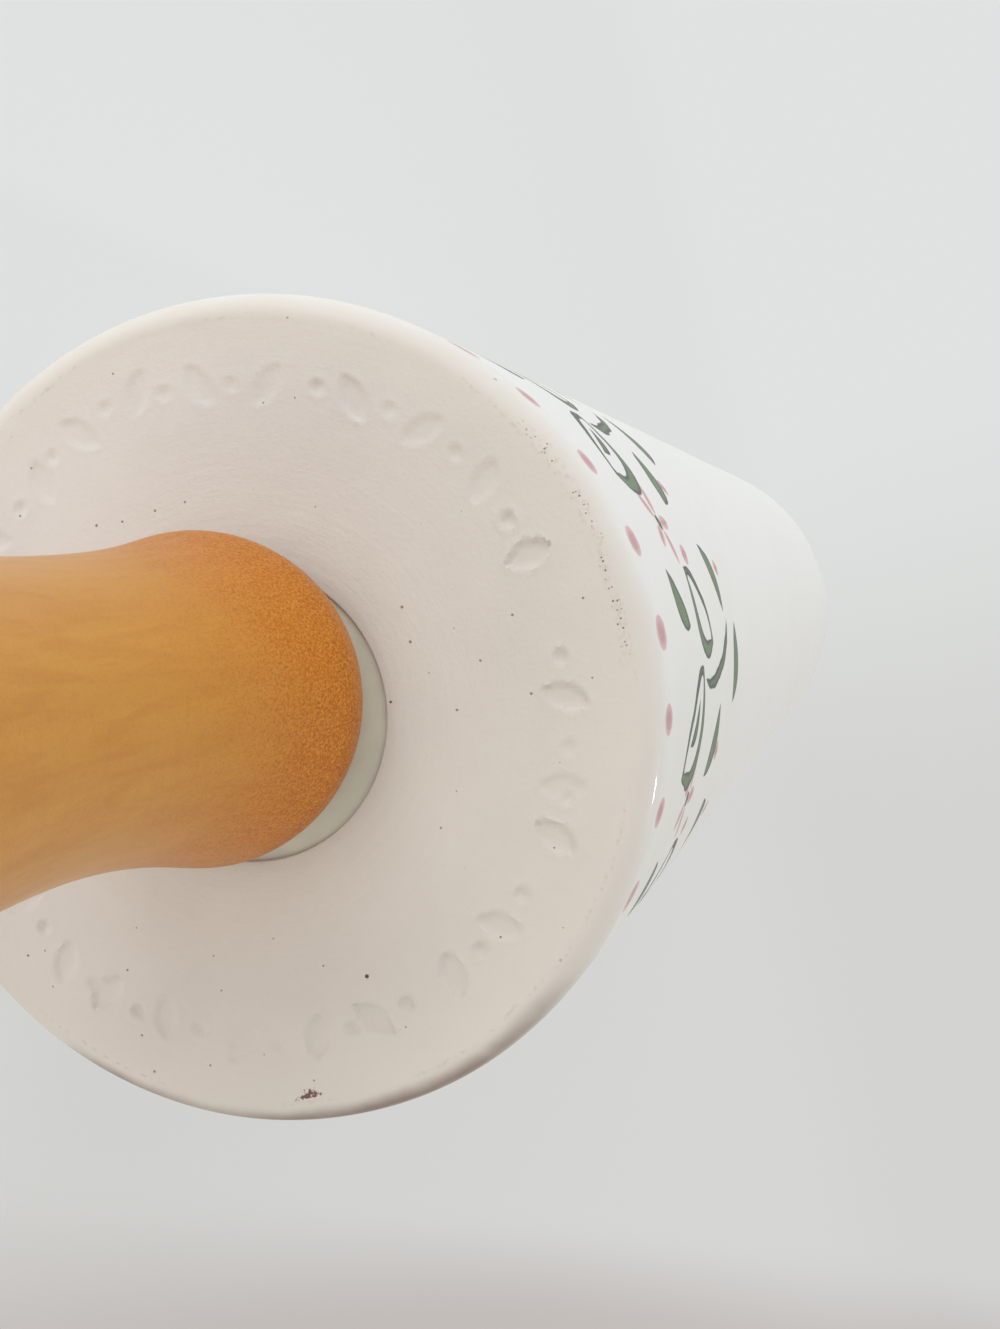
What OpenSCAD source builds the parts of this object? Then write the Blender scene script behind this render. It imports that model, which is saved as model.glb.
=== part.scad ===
// Rolling pin: a hollow glazed ceramic barrel that turns on a steel rod, with a turned wooden handle on each end.
// The rod lies along X and the middle of the barrel is at the origin. Lengths are in millimetres.

/* [Barrel] */
// Outside diameter of the barrel
barrel_d = 70; // [58:1:90]
// Length of the barrel between its flat end faces
barrel_l = 254; // [180:1:360]
// Thickness of the fired shell round the hollow
shell_t = 8; // [5:0.5:12]
// Thickness of each closed end
end_t = 11; // [8:0.5:16]
// Radius of the rounded edge between an end face and the side
rim_r = 3; // [1.5:0.1:4.5]
// Radius of the inside corners of the hollow
hollow_r = 5; // [2:0.5:8]

/* [End bushes] */
// Diameter of a bush's flange, which shows round the foot of the handle
flange_d = 24; // [19:0.5:30]
// Thickness of the flange
flange_t = 2.2; // [1.5:0.1:3]
// Chamfer round the flange's front edge
flange_edge = 0.1; // [0.1:0.1:0.6]
// How far the flange's face lies below the barrel's end face
flange_drop = 0.4; // [0.2:0.1:1.2]
// Outside diameter of the sleeve between its ribs
sleeve_d = 14.4; // [12:0.2:17.5]
// Length of the sleeve behind the flange
sleeve_l = 9.5; // [6:0.5:13]
// Height of the ribs that centre the sleeve in the clay
rib_h = 0.7; // [0.4:0.1:1]
// Width of one rib
rib_w = 1.6; // [1:0.1:2.4]
// Number of ribs round the sleeve
rib_count = 6; // [3:1:8]

/* [Rod] */
// Diameter of the rod where the bushes run on it
rod_d = 8; // [7:0.1:10]
// Diameter of the threaded spigot at each end of the rod
spigot_d = 6; // [4.5:0.1:6.8]
// Length of a spigot beyond the rod's shoulder
spigot_l = 20; // [14:0.5:24]
// Width of the relief groove between shoulder and thread
relief_w = 1.5; // [1:0.1:2.5]
// Depth of the relief groove
relief_h = 0.5; // [0.3:0.1:0.8]

/* [Thrust washers] */
// Outside diameter of a thrust washer
washer_d = 14; // [11.5:0.5:17]
// Thickness of a thrust washer
washer_t = 1.5; // [1:0.1:3]

/* [Threaded inserts] */
// Diameter of an insert over its barbs
insert_d = 10; // [8.6:0.1:12]
// Length of an insert
insert_l = 16; // [12:0.5:20]
// Height of the barbs that bite into the wood
barb_h = 0.6; // [0.3:0.1:0.8]
// Number of barbs along an insert
barb_count = 5; // [3:1:7]

/* [Handles] */
// Length of a handle
handle_l = 100; // [90:1:130]
// Diameter of the flat foot that faces the barrel
foot_d = 19; // [16:0.5:22]
// Diameter of the bead beside the barrel
bead_d = 26; // [24:0.1:30]
// Distance from the foot to the widest line of the bead
bead_x = 6; // [3:0.1:9]
// Diameter of the waist
waist_d = 20.6; // [17:0.1:23]
// Distance from the foot to the waist
waist_x = 34; // [28:0.5:46]
// Diameter of the palm swell
palm_d = 28.4; // [25:0.1:34]
// Distance from the foot to the widest line of the palm swell
palm_x = 77; // [64:0.5:86]

/* [Clearances] */
// Running clearance between rod and bush, measured on the radius
running_gap = 0.05; // [0.02:0.01:0.1]
// End float between a bush and its thrust washer
end_float = 0.5; // [0.3:0.1:1]
// Gap round the flange in its seat, measured on the radius
seat_gap = 0.05; // [0.05:0.05:0.5]
// Gap between parts that are pushed or screwed together, measured on the radius
push_gap = 0.04; // [0.02:0.01:0.1]

/* [Hidden] */
$fn = 96;
// How far a cutting shape runs past the surface that it cuts
overrun = 1;
// Straight pieces in a quarter of a small rounded edge
edge_steps = 8;
// Straight pieces in one sweep of a handle's outline
sweep_steps = 20;
// Chamfer on the other turned and moulded edges
chamfer = 0.5;
// Free depth beyond the spigot in a handle
hole_spare_l = 4;
// How much wider than the spigot that free depth is drilled
hole_spare_w = 1;
// Share of the run from bead to waist over which the outline stays near the bead's level
bead_hold_share = 0.08;
// Share of that run over which it settles on the waist's level
waist_settle_share = 0.6;
// Share of the run from waist to palm swell over which it stays near the waist's level
waist_hold_share = 0.42;
// Share of that run over which it settles on the swell's level
palm_settle_share = 0.38;

face_x = barrel_l / 2;
flange_x = face_x - flange_drop;
seat_x = flange_x - flange_t;
shoulder_x = flange_x + end_float;
foot_x = shoulder_x + washer_t;
sleeve_hole_d = sleeve_d + 2 * rib_h + 2 * push_gap;
bush_bore_d = rod_d + 2 * running_gap;
spigot_hole_d = spigot_d + 2 * push_gap;
pocket_d = insert_d + 2 * push_gap;
hollow_d = barrel_d - 2 * shell_t;
hollow_l = barrel_l - 2 * end_t;

// Points of an ellipse's arc round [x, r], from one angle to another
function arc(x, r, size_x, size_r, from, to, steps) = [
    for (i = [0:steps]) let (a = from + (to - from) * i / steps) [x + size_x * cos(a), r + size_r * sin(a)]
];

// Points of a curve that leaves one level line and settles on another, without its first point
function sweep(a, b, leave, settle, steps) = [
    for (i = [1:steps])
        let (t = i / steps, s = 1 - t, run = b[0] - a[0])
            s * s * s * a + 3 * s * s * t * [a[0] + leave * run, a[1]]
            + 3 * s * t * t * [b[0] - settle * run, b[1]] + t * t * t * b
];

// Turns an outline of [x, radius] points round the X axis
module turned(points) {
    rotate([0, 90, 0]) rotate_extrude() polygon([for (p = points) [p[1], p[0]]]);
}

// A round hole or bar along X, between two places on it
module along_x(d, from, to) {
    translate([from, 0, 0]) rotate([0, 90, 0]) cylinder(d = d, h = to - from);
}

// Both ends of a plain turned block, with the same rounded edge on each
function rounded_block(d, l, edge) = concat(
    [[-l / 2, 0]],
    arc(-l / 2 + edge, d / 2 - edge, edge, edge, 180, 90, edge_steps),
    arc(l / 2 - edge, d / 2 - edge, edge, edge, 90, 0, edge_steps),
    [[l / 2, 0]]
);

// The stepped hole through one closed end: a seat for the flange and a hole for the ribbed sleeve
module bush_hole() {
    along_x(flange_d + 2 * seat_gap, seat_x, face_x + overrun);
    along_x(sleeve_hole_d, face_x - end_t - overrun, face_x);
}

module barrel() {
    color([0.93, 0.92, 0.89])
        difference() {
            turned(rounded_block(barrel_d, barrel_l, rim_r));
            turned(rounded_block(hollow_d, hollow_l, hollow_r));
            bush_hole();
            mirror([1, 0, 0]) bush_hole();
        }
}

// The flange and sleeve of a bush, with eased edges
module bush_body() {
    turned([
        [seat_x - sleeve_l, 0],
        [seat_x - sleeve_l, sleeve_d / 2 - chamfer],
        [seat_x - sleeve_l + chamfer, sleeve_d / 2],
        [seat_x, sleeve_d / 2],
        [seat_x, flange_d / 2],
        [flange_x - flange_edge, flange_d / 2],
        [flange_x, flange_d / 2 - flange_edge],
        [flange_x, 0]
    ]);
}

// One rib, which starts inside the sleeve's wall and stops short of its far end
module bush_rib() {
    translate([seat_x - sleeve_l + 2 * chamfer, -rib_w / 2, rod_d / 2 + chamfer])
        cube([sleeve_l - 2 * chamfer, rib_w, (sleeve_d - rod_d) / 2 + rib_h]);
}

module end_bush() {
    color([0.70, 0.70, 0.65])
        difference() {
            union() {
                bush_body();
                intersection() {
                    for (i = [0:rib_count - 1]) rotate([360 * i / rib_count, 0, 0]) bush_rib();
                    along_x(sleeve_d + 2 * rib_h, seat_x - sleeve_l, seat_x);
                }
            }
            along_x(bush_bore_d, seat_x - sleeve_l - overrun, flange_x + overrun);
            turned([
                [flange_x - chamfer, 0],
                [flange_x - chamfer, bush_bore_d / 2],
                [flange_x, bush_bore_d / 2 + chamfer],
                [flange_x + overrun, bush_bore_d / 2 + chamfer],
                [flange_x + overrun, 0]
            ]);
        }
}

// Half of the rod's outline: shaft, shoulder, relief groove and chamfered spigot
function rod_half() = [
    [shoulder_x - chamfer, rod_d / 2],
    [shoulder_x, rod_d / 2 - chamfer],
    [shoulder_x, spigot_d / 2 - relief_h],
    [shoulder_x + relief_w, spigot_d / 2 - relief_h],
    [shoulder_x + relief_w + relief_h, spigot_d / 2],
    [shoulder_x + spigot_l - chamfer, spigot_d / 2],
    [shoulder_x + spigot_l, spigot_d / 2 - chamfer],
    [shoulder_x + spigot_l, 0]
];

module rod() {
    half = rod_half();
    other_half = [for (i = [len(half) - 1:-1:0]) [-half[i][0], half[i][1]]];
    color("silver") turned(concat(other_half, half));
}

module thrust_washer() {
    color([0.78, 0.78, 0.76])
        difference() {
            along_x(washer_d, shoulder_x, foot_x);
            along_x(spigot_hole_d, shoulder_x - overrun, foot_x + overrun);
        }
}

// The barbs rise towards the foot, so that the insert goes in and doesn't pull out
module threaded_insert() {
    pitch = insert_l / (barb_count + 1);
    root = insert_d / 2 - barb_h;
    color([0.80, 0.65, 0.30])
        difference() {
            turned(concat(
                [[foot_x, 0], [foot_x, insert_d / 2], [foot_x + pitch / 2, insert_d / 2], [foot_x + pitch / 2, root]],
                [
                    for (i = [1:barb_count])
                        each [
                            [foot_x + pitch * i, root],
                            [foot_x + pitch * i, insert_d / 2],
                            [foot_x + pitch * (i + 1) - chamfer, root]
                        ]
                ],
                [[foot_x + insert_l, root - chamfer], [foot_x + insert_l, 0]]
            ));
            along_x(spigot_hole_d, foot_x - overrun, foot_x + insert_l + overrun);
        }
}

// The level points of a handle's outline: the bead's top, the waist and the palm swell's top
function bead_top() = [foot_x + bead_x, bead_d / 2];
function waist_low() = [foot_x + waist_x, waist_d / 2];
function palm_top() = [foot_x + palm_x, palm_d / 2];

// A handle's outline: foot, bead, waist, palm swell and rounded end
function handle_outline() = concat(
    [[foot_x, 0]],
    arc(foot_x + bead_x, foot_d / 2, bead_x, (bead_d - foot_d) / 2, 180, 90, edge_steps),
    sweep(bead_top(), waist_low(), bead_hold_share, waist_settle_share, sweep_steps),
    sweep(waist_low(), palm_top(), waist_hold_share, palm_settle_share, sweep_steps),
    arc(palm_top()[0], 0, handle_l - palm_x, palm_d / 2, 90, 0, sweep_steps)
);

// The pocket for the insert and the drilled hole beyond it, down to the drill's point
module handle_hole() {
    drill_r = (spigot_d + hole_spare_w) / 2;
    drill_x = shoulder_x + spigot_l + hole_spare_l;
    along_x(pocket_d, foot_x - overrun, foot_x + insert_l);
    turned([[foot_x, 0], [foot_x, drill_r], [drill_x, drill_r], [drill_x + drill_r / 2, 0]]);
}

module handle() {
    color([0.78, 0.52, 0.25])
        difference() {
            turned(handle_outline());
            handle_hole();
        }
}

barrel();
mirror([1, 0, 0]) end_bush();  // left_end_bush
end_bush();  // right_end_bush
rod();
mirror([1, 0, 0]) thrust_washer();  // left_thrust_washer
thrust_washer();  // right_thrust_washer
mirror([1, 0, 0]) threaded_insert();  // left_threaded_insert
threaded_insert();  // right_threaded_insert
mirror([1, 0, 0]) handle();  // left_handle
handle();  // right_handle
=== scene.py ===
"""Rolling pin: a hand-made pottery barrel on a steel rod, with two turned wooden handles."""

from math import atan2, cos, hypot, pi, radians, sin

import bpy
from bpy.props import FloatProperty, FloatVectorProperty, IntProperty, PointerProperty
from mathutils import Matrix, Vector, noise


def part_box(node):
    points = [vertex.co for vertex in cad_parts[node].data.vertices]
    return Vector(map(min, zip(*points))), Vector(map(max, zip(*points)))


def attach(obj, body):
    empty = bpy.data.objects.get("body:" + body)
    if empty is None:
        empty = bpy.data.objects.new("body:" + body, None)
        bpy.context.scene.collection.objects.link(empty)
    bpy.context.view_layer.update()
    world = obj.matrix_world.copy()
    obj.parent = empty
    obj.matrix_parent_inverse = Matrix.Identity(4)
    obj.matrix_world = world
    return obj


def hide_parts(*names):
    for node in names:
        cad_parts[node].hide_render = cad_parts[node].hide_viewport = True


bl_info = {
    "name": "Pottery Rolling Pin",
    "version": (1, 0, 0),
    "blender": (4, 5, 0),
    "location": "3D View > Sidebar > Rolling Pin",
    "description": "Dresses a rolling pin with a painted ceramic barrel, turned handles and their metalwork",
    "category": "Add Mesh",
}

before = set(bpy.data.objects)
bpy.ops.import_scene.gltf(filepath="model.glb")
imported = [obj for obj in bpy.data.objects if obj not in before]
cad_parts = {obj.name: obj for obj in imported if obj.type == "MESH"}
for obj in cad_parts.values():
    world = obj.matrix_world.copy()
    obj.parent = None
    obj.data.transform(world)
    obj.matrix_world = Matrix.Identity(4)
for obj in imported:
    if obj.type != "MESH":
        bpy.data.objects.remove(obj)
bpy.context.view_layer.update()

MM = 0.001
ENDS = {"left": -1, "right": 1}

_, BARREL_HIGH = (Vector(corner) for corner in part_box("barrel"))
BARREL_R = BARREL_HIGH.z
FACE_X = BARREL_HIGH.x
_, BUSH_HIGH = (Vector(corner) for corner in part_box("right_end_bush"))
FLANGE_SWELL = 0.4 * MM
FLANGE_R = BUSH_HIGH.z + FLANGE_SWELL
FLANGE_X = BUSH_HIGH.x
HANDLE_LOW, HANDLE_HIGH = (Vector(corner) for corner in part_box("right_handle"))
FOOT_X = HANDLE_LOW.x
_, INSERT_HIGH = (Vector(corner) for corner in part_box("right_threaded_insert"))


# Sizes and colours that a user would change


def number(name, description, default, low, high, subtype="NONE"):
    return FloatProperty(name=name, description=description, default=default, min=low, max=high, subtype=subtype)


def size_mm(name, description, default, low, high):
    """A length with its default and limits in millimetres."""
    return number(name, description, default * MM, low * MM, high * MM, "DISTANCE")


def colour(name, description, value):
    return FloatVectorProperty(name=name, description=description, default=value, min=0, max=1, subtype="COLOR")


class BarrelSizes(bpy.types.PropertyGroup):
    rim_r: size_mm("Rim radius", "Rounding between an end face and the glazed side", 2.3, 1, 5)
    shell_t: size_mm("Shell thickness", "Thickness of the fired clay round the hollow", 8, 4, 14)
    end_t: size_mm("End thickness", "Thickness of each closed end", 11, 6, 20)
    flange_t: size_mm("Flange thickness", "Depth of the seat behind a bush's flange", 2.2, 1, 4)
    seat_gap: size_mm("Seat gap", "Gap round the flange in its seat", 0.02, 0.01, 1)
    sleeve_hole_r: size_mm("Sleeve hole radius", "Hole through a closed end for the bush's sleeve", 7.94, 5, 11)
    unevenness: size_mm("Unevenness", "How far the clay strays from a true cylinder", 0.3, 0, 1)
    segments: IntProperty(name="Segments", description="Faces round the barrel", default=480, min=96, max=600)


class StampSizes(bpy.types.PropertyGroup):
    ring_r: size_mm("Ring radius", "Radius of the ring of pressed marks on an end face", 27.6, 20, 30)
    count: IntProperty(name="Marks", description="Pressed leaves round one end face", default=27, min=6, max=40)
    leaf_l: size_mm("Leaf length", "Length of one pressed leaf", 4, 2, 6)
    leaf_w: size_mm("Leaf width", "Width of one pressed leaf", 1.9, 1, 4)
    depth: size_mm("Depth", "How deep the stamp went into the clay", 0.28, 0.05, 1)
    lip: size_mm("Lip", "Height of the clay pushed up round a mark", 0.07, 0, 0.3)


class HandleSizes(bpy.types.PropertyGroup):
    foot_r: size_mm("Foot radius", "Flat foot that faces the barrel", 9.5, 6, 11)
    bead_r: size_mm("Bead radius", "Bead beside the barrel", 13.33, 9, 16)
    bead_x: size_mm("Bead place", "From the foot to the widest line of the bead", 6, 3, 9)
    waist_r: size_mm("Waist radius", "Waist between bead and palm swell", 10.58, 6, 12)
    waist_x: size_mm("Waist place", "From the foot to the waist", 34, 28, 50)
    palm_x: size_mm("Palm swell place", "From the foot to the widest line of the palm swell", 77, 60, 90)
    pocket_r: size_mm("Pocket radius", "Pocket that holds the threaded insert", 5.04, 4, 6)
    drill_r: size_mm("Drill radius", "Hole beyond the insert", 3.5, 2, 5)
    drill_l: size_mm("Drill depth", "Depth of the hole from the foot", 22, 16, 40)
    off_centre: size_mm("Off centre", "How far the turned form is off its hole's line", 2.78, 0, 4)
    off_low: size_mm("Low", "How far the turned form is below its hole's line", 0.6, 0, 2)
    off_at_foot: number("Off at the foot", "Share of both at the foot, as the hole slants", 0.72, 0, 1, "FACTOR")
    segments: IntProperty(name="Segments", description="Faces round a handle", default=160, min=48, max=256)


class PinColours(bpy.types.PropertyGroup):
    bisque: colour("Bisque", "Bare fired clay on the end faces", (0.705, 0.672, 0.634))
    rim: colour("Rim", "Thin glaze over the clay at the rim", (0.70, 0.66, 0.605))
    glaze: colour("Glaze", "White glaze on the barrel's side", (0.785, 0.785, 0.765))
    # Painted shade: darker brown on the rims' lower side, which turns away from the light
    rim_shade: colour("Stain", "Brown stain under the thin glaze of the rim", (0.215, 0.14, 0.105))
    green: colour("Green", "Brushed green of the leaves", (0.10, 0.185, 0.07))
    green_edge: colour("Green edge", "Where the green pooled and dried darker", (0.010, 0.016, 0.008))
    pink: colour("Pink", "Brushed pink of the dots and petals", (0.50, 0.225, 0.245))
    pink_edge: colour("Pink edge", "Where the pink ran out thin", (0.64, 0.40, 0.41))
    wood: colour("Wood", "Varnished wood along the grain", (0.605, 0.250, 0.013))
    wood_end: colour("End grain", "Varnished wood cut across the grain", (0.490, 0.149, 0.004))
    bush: colour("Bush", "Grey-green plastic of the end bushes", (0.70, 0.69, 0.56))
    floor: colour("Floor", "Pale surface that the pin lies on", (0.74, 0.745, 0.735))
    room: colour("Room", "Pale room behind the floor", (0.745, 0.76, 0.755))
    room_dim: colour("Dim room", "The room on the side away from the light", (0.655, 0.66, 0.645))


class StageSettings(bpy.types.PropertyGroup):
    floor_w: number("Floor width", "Side of the pale floor", 8, 1, 20, "DISTANCE")
    world: number("World", "Strength of the plain light from all round", 0.95, 0, 2)
    key: number("Key lamp", "Power of the large soft lamp", 0.42, 0, 60, "POWER")
    overhead: number("Overhead lamp", "Power of the small lamp that glints", 0.8, 0, 20, "POWER")
    eye: FloatVectorProperty(
        name="Eye", description="Place of the camera", default=(0.2502, 0, 0.05504), subtype="TRANSLATION")
    target: FloatVectorProperty(
        name="Target", description="Middle of the picture, on the right end face",
        default=(FACE_X, 0.00068, 0.02235), subtype="TRANSLATION")
    roll: number("Roll", "Turn of the camera about its line of sight", radians(76.94), -pi, pi, "ANGLE")
    lens: number("Lens", "Focal length", 43.28, 10, 200)


# Hand tools: small helpers for modelling


def set_up(thing, **settings):
    """Gives a thing several settings, and returns it."""
    for name, value in settings.items():
        setattr(thing, name, value)
    return thing


def nothing_selected():
    if bpy.context.object and bpy.context.object.mode != "OBJECT":
        bpy.ops.object.mode_set(mode="OBJECT")
    bpy.ops.object.select_all(action="DESELECT")


def work_on(piece):
    """Makes a piece the only one that is selected and active."""
    nothing_selected()
    piece.select_set(True)
    bpy.context.view_layer.objects.active = piece


def edit_all(piece):
    """Opens a piece for editing, with all of its mesh selected."""
    work_on(piece)
    bpy.ops.object.mode_set(mode="EDIT")
    bpy.ops.mesh.select_all(action="SELECT")


def close_edit():
    """Turns the selected faces outward and ends the editing."""
    bpy.ops.mesh.normals_make_consistent(inside=False)
    bpy.ops.object.mode_set(mode="OBJECT")


def turn_outline(name, outline, segments):
    """Draws an outline of (x, radius) points edge by edge and spins it round the X axis into a closed piece."""
    nothing_selected()
    start_x, start_r = outline[0]
    bpy.ops.mesh.primitive_plane_add(size=MM, location=(start_x, 0, start_r))
    piece = bpy.context.object
    piece.name = piece.data.name = name
    bpy.ops.object.transform_apply(location=True, rotation=True, scale=True)
    edit_all(piece)
    bpy.ops.mesh.merge(type="CENTER")
    for (x0, r0), (x1, r1) in zip(outline, outline[1:]):
        bpy.ops.mesh.extrude_vertices_move(TRANSFORM_OT_translate={"value": (x1 - x0, 0, r1 - r0)})
    bpy.ops.mesh.select_all(action="SELECT")
    bpy.ops.mesh.spin(steps=segments, angle=2 * pi, center=(0, 0, 0), axis=(1, 0, 0))
    bpy.ops.mesh.select_all(action="SELECT")
    bpy.ops.mesh.remove_doubles(threshold=0.005 * MM)
    close_edit()
    return piece


def weigh(piece, name, weight_at):
    """Makes a vertex group whose weight at each vertex is weight_at(place)."""
    group = piece.vertex_groups.new(name=name)
    for vertex in piece.data.vertices:
        weight = weight_at(vertex.co)
        if weight > 0:
            group.add([vertex.index], min(weight, 1), "REPLACE")


def displace(piece, group, strength, texture=None, direction="NORMAL"):
    """Moves the group's vertices along their normals or one axis, evenly or by a texture, and applies it."""
    work_on(piece)
    modifier = set_up(piece.modifiers.new("Displace", "DISPLACE"), vertex_group=group, strength=strength,
                      direction=direction, mid_level=0.5 if texture else 0, texture=texture, texture_coords="LOCAL")
    bpy.ops.object.modifier_apply(modifier=modifier.name)


def smooth(piece, sharp_from):
    """Shades a piece smooth, with its edges sharp from an angle in degrees."""
    work_on(piece)
    bpy.ops.object.shade_smooth_by_angle(angle=radians(sharp_from))


def copied(piece, name):
    """A copy of a piece's mesh as a piece of its own, opened for editing."""
    mesh = piece.data.copy()
    mesh.name = name
    mesh.materials.clear()
    copy = bpy.data.objects.new(name, mesh)
    bpy.context.collection.objects.link(copy)
    edit_all(copy)
    return copy


def stand(data, place, target, roll=0.0):
    """Puts a lamp or camera at a place, looking at a target."""
    made = bpy.data.objects.new(data.name, data)
    bpy.context.scene.collection.objects.link(made)
    aim = (Vector(target) - Vector(place)).to_track_quat("-Z", "Y").to_matrix() @ Matrix.Rotation(roll, 3, "Z")
    made.matrix_world = Matrix.Translation(place) @ aim.to_4x4()
    return made


def arc(x, r, size_x, size_r, start, stop, steps):
    """Points of an ellipse's arc round (x, r), from one angle to another in degrees."""
    turns = [radians(start + (stop - start) * i / steps) for i in range(steps + 1)]
    return [(x + size_x * cos(turn), r + size_r * sin(turn)) for turn in turns]


def run_on(points, x, r, steps):
    """Adds evenly spaced points, from the last one to (x, r)."""
    a = points[-1]
    points += [(a[0] + (x - a[0]) * i / steps, a[1] + (r - a[1]) * i / steps) for i in range(1, steps + 1)]


def sweep(a, b, leave, settle, steps):
    """Points of a curve that leaves one level line and settles on another, without a itself."""
    points = []
    for i in range(1, steps + 1):
        t = i / steps
        s = 1 - t
        reach = b[0] - a[0]
        ends = s ** 3 + 3 * s * s * t
        x = ends * a[0] + 3 * s * s * t * leave * reach + (1 - ends) * b[0] - 3 * s * t * t * settle * reach
        points.append((x, ends * a[1] + (1 - ends) * b[1]))
    return points


def smoothstep(low, high, value):
    share = min(max((value - low) / (high - low), 0), 1)
    return share * share * (3 - 2 * share)


# Node wiring: helpers that build shader trees


ONE_NUMBER = ("LENGTH", "DOT_PRODUCT", "DISTANCE")


class Wiring:
    """Adds nodes to one tree. A socket that is given is linked, and a number or a colour's red, green and blue are
    typed in."""

    def __init__(self, tree):
        self.tree = tree

    def node(self, kind, **settings):
        return set_up(self.tree.nodes.new(kind), **settings)

    def feed(self, socket, value):
        if isinstance(value, bpy.types.NodeSocket):
            self.tree.links.new(value, socket)
        elif socket.type == "RGBA":
            socket.default_value = (*value, 1.0)
        else:
            socket.default_value = value

    def fill(self, sockets, **values):
        """Feeds several sockets, each named with underscores for spaces."""
        for name, value in values.items():
            self.feed(sockets[name.replace("_", " ")], value)

    def feed_all(self, sockets, *values):
        for socket, value in zip(sockets, values):
            self.feed(socket, value)

    def math(self, operation, *values):
        made = self.node("ShaderNodeMath", operation=operation)
        self.feed_all(made.inputs, *values)
        return made.outputs[0]

    def chain(self, operation, values):
        """The values joined two by two by one operation."""
        result = values[0]
        for value in values[1:]:
            result = self.math(operation, result, value)
        return result

    def add(self, *values):
        return self.chain("ADD", values)

    def times(self, *values):
        return self.chain("MULTIPLY", values)

    def highest(self, *values):
        return self.chain("MAXIMUM", values)

    def minus(self, a, b):
        return self.math("SUBTRACT", a, b)

    def over(self, a, b):
        return self.math("DIVIDE", a, b)

    def absolute(self, value):
        return self.math("ABSOLUTE", value)

    def step(self, value, low, high):
        """0 below low, 1 above high, and a smooth step between them. low may be the higher of the two."""
        made = self.node("ShaderNodeMapRange", interpolation_type="SMOOTHSTEP")
        self.fill(made.inputs, Value=value, From_Min=low, From_Max=high)
        return made.outputs[0]

    def scaled(self, vector, factors):
        return self.vector("MULTIPLY", vector, factors)

    def vector(self, operation, *values):
        made = self.node("ShaderNodeVectorMath", operation=operation)
        self.feed_all(made.inputs, *values)
        return made.outputs["Value" if operation in ONE_NUMBER else "Vector"]

    def parts(self, vector):
        made = self.node("ShaderNodeSeparateXYZ")
        self.feed(made.inputs[0], vector)
        return made.outputs[:]

    def joined(self, x, y, z=0.0):
        made = self.node("ShaderNodeCombineXYZ")
        self.feed_all(made.inputs, x, y, z)
        return made.outputs[0]

    def mix(self, factor, a, b):
        """A colour between a and b."""
        made = self.node("ShaderNodeMix", data_type="RGBA")
        self.feed_all(made.inputs[0:1] + made.inputs[6:8], factor, a, b)
        return made.outputs[2]

    def blend(self, factor, a, b):
        """A number between a and b."""
        made = self.node("ShaderNodeMix", data_type="FLOAT")
        self.feed_all(made.inputs[0:1] + made.inputs[2:4], factor, a, b)
        return made.outputs[0]

    def noise(self, vector, scale, detail=2.0, roughness=0.5, distortion=0.0):
        made = self.node("ShaderNodeTexNoise", noise_dimensions="3D")
        self.fill(made.inputs, Vector=vector, Scale=scale, Detail=detail, Roughness=roughness, Distortion=distortion)
        return made.outputs["Fac"]

    def random(self, vector):
        """A random vector from -0.5 to 0.5 that stays the same over each whole-number place."""
        made = self.node("ShaderNodeTexWhiteNoise", noise_dimensions="3D")
        self.feed(made.inputs["Vector"], vector)
        return self.vector("SUBTRACT", made.outputs["Color"], (0.5, 0.5, 0.5))

    def group(self, tree, **values):
        made = self.node("ShaderNodeGroup", node_tree=tree)
        self.fill(made.inputs, **values)
        return made.outputs


def tinted(rgb, *factors):
    """A colour multiplied by one factor, or by one for each of its channels."""
    return [c * f for c, f in zip(rgb, factors * 3)]


VECTOR_SOCKETS = ("Place", "Centre")


def new_group(name, inputs, outputs):
    """An empty node group with its named sockets, and the wiring, sources and targets to fill it with."""
    tree = bpy.data.node_groups.new(name, "ShaderNodeTree")
    for side, labels in (("INPUT", inputs), ("OUTPUT", outputs)):
        for label in labels:
            kind = "NodeSocketVector" if label in VECTOR_SOCKETS else "NodeSocketFloat"
            tree.interface.new_socket(name=label, in_out=side, socket_type=kind)
    w = Wiring(tree)
    sources = w.node("NodeGroupInput").outputs
    return tree, w, [sources[label] for label in inputs], w.node("NodeGroupOutput").inputs


def new_material(name):
    """An empty material with its Principled shader, and its wiring."""
    material = bpy.data.materials.new(name)
    material.use_nodes = True
    w = Wiring(material.node_tree)
    shader = material.node_tree.nodes["Principled BSDF"]
    return material, w, shader.inputs


def object_place_mm(w):
    """The piece's own coordinates, in millimetres."""
    return w.scaled(w.node("ShaderNodeTexCoord").outputs["Object"], (1 / MM, 1 / MM, 1 / MM))


def bump(w, shader, height_mm):
    """Turns a height in millimetres into the shader's normal."""
    made = w.node("ShaderNodeBump")
    w.fill(made.inputs, Strength=1.0, Distance=MM, Height=height_mm)
    w.feed(shader["Normal"], made.outputs["Normal"])


def specks_group():
    """Scattered round specks on a flat place, one at most in each cell, in a given share of the cells."""
    tree, w, (place, cell, share, radius), out = new_group("Specks", ("Place", "Cell", "Share", "Radius"), ("Mask",))
    cells = w.node("ShaderNodeTexVoronoi", voronoi_dimensions="2D", feature="F1")
    w.fill(cells.inputs, Vector=place, Scale=w.over(1.0, cell))
    luck, grade, _ = w.parts(cells.outputs["Color"])
    reach = w.over(w.times(radius, w.add(w.times(grade, 1.2), 0.4)), cell)
    inside = w.step(cells.outputs["Distance"], reach, w.times(reach, 0.6))
    w.fill(out, Mask=w.times(inside, w.math("LESS_THAN", luck, share)))
    return tree


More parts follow.
